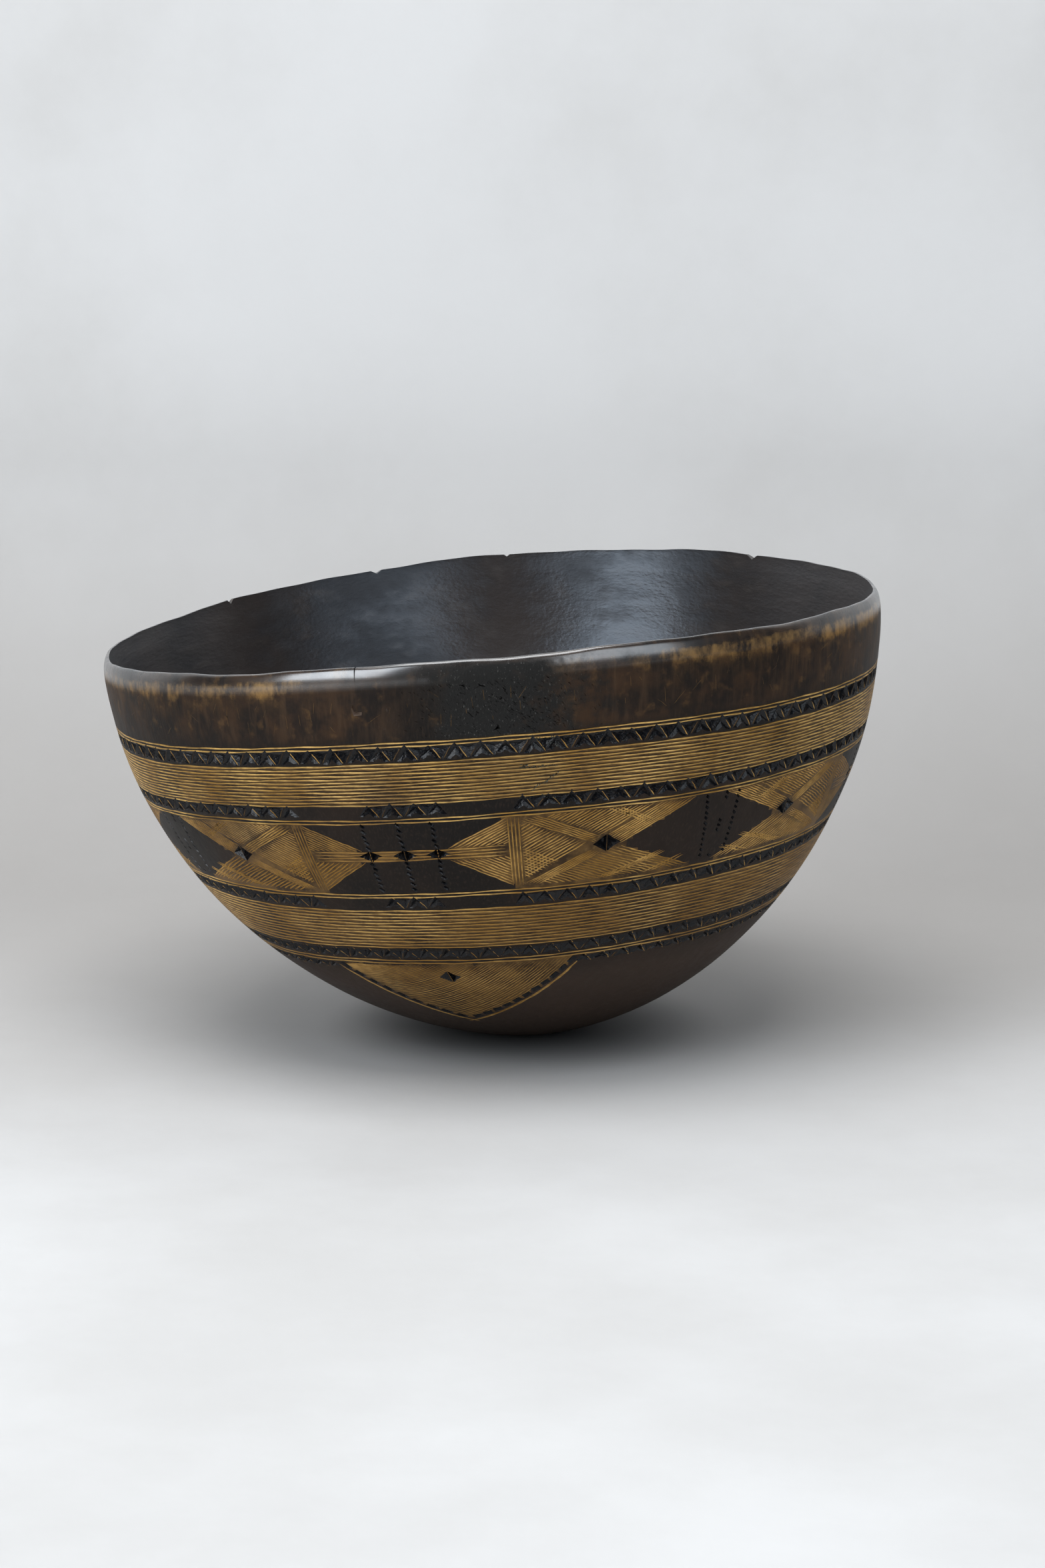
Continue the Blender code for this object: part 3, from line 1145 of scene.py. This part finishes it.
def dark_skin():
    """The outer skin: nearly black brown, redder and worn to ochre near the rim, torn in front, with
    painted glints on the torn grain and a painted sheen towards the bottom.
    """
    finish = Finish("dark_scorched_skin", (0.02, 0.012, 0.008), 0.42, 0.16)
    depth = finish.wall()[1]
    cloud = finish.noise(16.0, 5.0)
    blotch = finish.noise(70.0, 5.0, shift=(0.0, 3.0, 0.0), roughness=0.62)
    streak = finish.noise(330.0, 3.0, stretch=(1.0, 1.0, 0.10))
    fine = finish.noise(1100.0, 3.0, stretch=(1.0, 1.0, 0.12))
    near_rim = finish.step(depth, 27.0, 20.0)
    colour = finish.mix(finish.step(cloud, 0.38, 0.66), (0.0062, 0.0044, 0.0034), (0.0165, 0.0098, 0.0064))
    colour = finish.mix(finish.step(fine, 0.50, 0.72) * 0.45, colour, (0.035, 0.022, 0.014))
    brown = finish.mix(finish.step(blotch, 0.38, 0.66), (0.011, 0.0065, 0.0045), (0.040, 0.0195, 0.0085))
    brown = finish.mix(finish.step(streak, 0.46, 0.70) * 0.6, brown, (0.058, 0.032, 0.016))
    colour = finish.mix(near_rim * finish.step(cloud + 0.25 * blotch, 0.42, 0.66) * 0.9, colour, brown)
    colour = worn_to_ochre(finish, colour, cloud, blotch, streak)
    # Painted sheen: the skin is made lighter and greyer towards the bottom, where the floor's light
    # reflects.
    colour = finish.mix(finish.step(depth, 128.0, 150.0) * 0.5, colour, (0.075, 0.048, 0.034))
    speck = finish.step(finish.noise(120.0, 4.0, shift=(9.0, 0.0, 0.0)), 0.56, 0.74) * near_rim
    colour = finish.mix(speck * 0.4, colour, (0.14, 0.072, 0.024))
    patch = torn_patch(finish, cloud, blotch)
    torn = finish.noise(1300.0, 5.0, stretch=(1.0, 1.0, 0.5), shift=(0.0, 7.0, 0.0), roughness=0.7)
    colour = finish.mix(patch, colour, (0.0100, 0.0094, 0.0086))
    # Painted glints: light grey specks over the torn grain stand in for sparkles of light. The same noise
    # also gives the torn fibres their bump.
    colour = finish.mix(patch * finish.step(torn, 0.60, 0.68) * 0.6, colour, (0.14, 0.135, 0.125))
    shoulder = finish.step(depth, 2.0, -3.0)
    rough = 0.34 + 0.20 * cloud + 0.18 * streak
    looks = {
        "Base Color": colour,
        "Roughness": rough - 0.16 * shoulder * (1.0 - patch),
        "Coat Weight": (0.70 + 0.8 * (blotch - 0.3)) * shoulder * (1.0 - patch),
        "Coat Roughness": 0.20,
        "Coat IOR": 2.1,
        "Coat Tint": (0.90, 0.95, 1.0),
    }
    finish.wear(looks)
    finish.bump(fine * 0.3 + streak * 0.3 + blotch * 0.8 + patch * torn * 1.8, 0.5, 0.0004)
    return finish.material


def pale_cut():
    """Wood that a graver laid open: gold to tan, dirtied in places, with painted shade that darkens it
    towards the bottom.
    """
    finish = Finish("pale_engraved_wood", (0.42, 0.26, 0.10), 0.5, 0.12)
    cloud = finish.noise(24.0, 5.0, shift=(1.0, 2.0, 0.0))
    fleck = finish.noise(520.0, 4.0, stretch=(0.5, 0.5, 1.0))
    colour = finish.mix(finish.step(cloud, 0.38, 0.64), (0.33, 0.175, 0.036), (0.66, 0.41, 0.130))
    colour = finish.mix(finish.step(fleck, 0.40, 0.72) * 0.6, colour, (0.15, 0.080, 0.026))
    grime = finish.step(finish.noise(11.0, 6.0, shift=(0.0, 0.0, 4.0), roughness=0.62), 0.50, 0.66)
    colour = finish.mix(grime * 0.6, colour, (0.10, 0.058, 0.024))
    depth = finish.wall()[1]
    # Painted shade: darker and browner towards the bottom, where the wall turns away from the light above.
    colour = finish.mix(finish.step(depth, 70.0, 135.0) * 0.42, colour, (0.15, 0.072, 0.020))
    finish.wear({"Base Color": colour, "Roughness": 0.34 + 0.24 * fleck})
    finish.bump(fleck, 0.6, 0.0003)
    return finish.material


def rubbed_skin():
    """Skin rubbed thin and brown between the strokes of a hatched field."""
    finish = Finish("rubbed_skin", (0.08, 0.045, 0.02), 0.5, 0.15)
    cloud = finish.noise(60.0, 5.0, shift=(2.0, 0.0, 1.0))
    fleck = finish.noise(500.0, 3.0)
    colour = finish.mix(finish.step(cloud, 0.36, 0.62), (0.034, 0.018, 0.007), (0.130, 0.070, 0.021))
    colour = finish.mix(finish.step(fleck, 0.50, 0.75) * 0.4, colour, (0.22, 0.13, 0.045))
    finish.wear({"Base Color": colour, "Roughness": 0.38 + 0.2 * fleck})
    finish.bump(fleck, 0.4, 0.0002)
    return finish.material


def scorched_cut():
    """Chips burnt with a hot blade: glossy blue black."""
    finish = Finish("scorched_chip", (0.008, 0.009, 0.012), 0.22, 0.26)
    fleck = finish.noise(700.0, 3.0)
    colour = finish.mix(finish.step(fleck, 0.45, 0.70), (0.003, 0.0035, 0.005), (0.014, 0.010, 0.008))
    finish.wear({"Base Color": colour, "Roughness": 0.10 + 0.20 * fleck})
    finish.bump(fleck, 0.55, 0.0005)
    return finish.material


def hollow_wood():
    """The inside: charcoal brown, rubbed smooth by use, with faint scraper marks round it."""
    finish = Finish("rubbed_hollow", (0.02, 0.018, 0.017), 0.34, 0.3)
    cloud = finish.noise(11.0, 5.0, shift=(5.0, 1.0, 0.0))
    scrape = finish.noise(120.0, 4.0, stretch=(0.5, 0.12, 1.0), shift=(0.0, 0.0, 2.0))
    fine = finish.noise(800.0, 2.0, stretch=(0.6, 0.15, 1.0))
    colour = finish.mix(finish.step(cloud, 0.38, 0.66), (0.014, 0.011, 0.010), (0.034, 0.026, 0.022))
    colour = finish.mix(finish.step(scrape, 0.50, 0.72) * 0.5, colour, (0.050, 0.040, 0.034))
    angle = finish.wall()[0]
    far = finish.step(angle * angle, 105.0**2, 140.0**2)
    worn = finish.step(cloud + 0.5 * scrape, 0.50, 0.85) * (0.25 + 0.75 * far)
    looks = {
        "Base Color": colour,
        "Roughness": 0.56 - 0.32 * worn + 0.10 * scrape,
        "Specular IOR Level": 0.62,
        "Specular Tint": (0.74, 0.86, 1.0),
    }
    finish.wear(looks)
    finish.bump(scrape + fine * 0.3 + cloud * 1.2, 0.45, 0.0008)
    return finish.material


def old_wax():
    """Grey wax that dried in the cuts."""
    finish = Finish("old_wax", (0.12, 0.13, 0.115), 0.4, 0.5)
    fleck = finish.noise(900.0, 2.0)
    finish.wear({"Base Color": finish.mix(fleck, (0.045, 0.052, 0.048), (0.25, 0.26, 0.22))})
    return finish.material


def raw_wood():
    """Wood inside the wall, where the rings meet."""
    finish = Finish("inner_wood", (0.06, 0.035, 0.02), 0.6)
    grain = finish.noise(200.0, 3.0, stretch=(1.0, 0.1, 1.0))
    colour = finish.mix(grain, (0.04, 0.025, 0.015), (0.09, 0.05, 0.028))
    finish.wear({"Base Color": colour})
    return finish.material


# ---- the room


def sweep_finish():
    # Canvas with its own mottling, plus painted shade in the corner where the floor turns up and a painted
    # shadow under the bowl.
    finish = Finish("canvas_with_painted_shade", (0.80, 0.79, 0.775), 0.75)
    cloud = finish.noise(3.0, 6.0, roughness=0.62)
    weave = finish.noise(160.0, 2.0)
    colour = finish.mix(finish.step(cloud, 0.30, 0.70), (0.60, 0.59, 0.578), (0.69, 0.685, 0.68))
    across, along, up = finish.place()
    # Painted shade: the floor is darkened towards the corner where it turns up into the backdrop.
    foot = finish.step(along, -0.35, 0.20) * finish.step(up, 0.32, 0.02)
    colour = finish.mix(foot * 0.75, colour, (0.36, 0.34, 0.322))
    # Painted shadow: a nearly black patch on the floor right under the bowl, standing in for the contact
    # shadow.
    under = finish.step(across * across + along * along, 0.10**2, 0.02**2)
    colour = finish.mix(under * 0.85, colour, (0.03, 0.03, 0.03))
    finish.wear({"Base Color": colour})
    finish.bump(weave, 0.15, 0.0006)
    return finish.material


FLOOR_WIDTH = 6.0
FLOOR_MIDDLE = -0.4
FLOOR_LEVEL = -0.0003  # just under the worn flat
BACKDROP = 0.52  # how far behind the bowl's foot the backdrop rises
BACKDROP_HEIGHT = 4.0
SWEEP_BEND = 0.22  # how far the floor's turn up into the backdrop reaches


def seamless_sweep():
    """A floor that turns up into the backdrop."""
    deselect_all()
    bpy.ops.mesh.primitive_plane_add(size=FLOOR_WIDTH, location=(0.0, FLOOR_MIDDLE, FLOOR_LEVEL))
    floor = bpy.context.object
    floor.name = "sweep"
    edit("DESELECT")
    leave_edit()
    for edge in floor.data.edges:
        edge.select = all(floor.data.vertices[end].co.y > 0 for end in edge.vertices)
    edit()
    bpy.ops.mesh.select_mode(type="EDGE")
    bpy.ops.mesh.extrude_region_move(TRANSFORM_OT_translate={"value": (0.0, 0.0, BACKDROP_HEIGHT)})
    leave_edit()
    bpy.ops.object.transform_apply(location=True, rotation=True, scale=True)
    for vertex in floor.data.vertices:
        if vertex.co.y > 0.0:
            vertex.co.y = BACKDROP
    turn = floor.modifiers.new("turn_up", "BEVEL")
    turn.width = SWEEP_BEND
    turn.segments = 16
    turn.limit_method = "ANGLE"
    make_active(floor)
    bpy.ops.object.modifier_apply(modifier=turn.name)
    bpy.ops.object.shade_smooth_by_angle(angle=math.radians(60.0))
    floor.data.materials.append(sweep_finish())


def soft_light(name, place, size, power, colour, aim):
    deselect_all()
    bpy.ops.object.light_add(type="AREA", location=place)
    light = bpy.context.object
    light.name = name
    light.data.shape = "RECTANGLE"
    light.data.size, light.data.size_y = size
    light.data.energy = power
    light.data.color = colour
    light.rotation_euler = (Vector(aim) - Vector(place)).to_track_quat("-Z", "Y").to_euler()


def studio():
    world = bpy.data.worlds.new("daylight")
    bpy.context.scene.world = world
    world.use_nodes = True
    background = world.node_tree.nodes["Background"]
    background.inputs["Color"].default_value = (0.93, 0.96, 1.0, 1.0)
    background.inputs["Strength"].default_value = 0.06
    soft_light("sky_window", (-0.18, -0.72, 2.4), (2.0, 1.4), 50.0, (0.97, 0.985, 1.0), (0.0, -0.1, 0.0))
    soft_light("left_window", (-1.80, -1.65, 1.15), (1.4, 1.5), 40.0, (0.88, 0.94, 1.0), (0.0, 0.1, 0.30))
    soft_light("right_window", (1.40, -2.05, 1.15), (1.7, 1.4), 20.0, (0.84, 0.92, 1.0), (0.0, 0.1, 0.30))
    bpy.context.scene.view_settings.view_transform = "Standard"


CAMERA_PLACE = (0.0, -1.712, 0.431)
CAMERA_TILT = math.radians(79.58)


def camera():
    deselect_all()
    bpy.ops.object.camera_add(location=CAMERA_PLACE, rotation=(CAMERA_TILT, 0.0, 0.0))
    made = bpy.context.object
    made.data.lens = 85.0
    made.data.sensor_width = 36.0
    bpy.context.scene.camera = made


FINISHES = [dark_skin(), pale_cut(), scorched_cut(), hollow_wood(), raw_wood(), rubbed_skin(), old_wax()]

camera()
studio()
seamless_sweep()
hollow()
rim_band()
upper_bands()
frieze()
lower_bands()
underside()
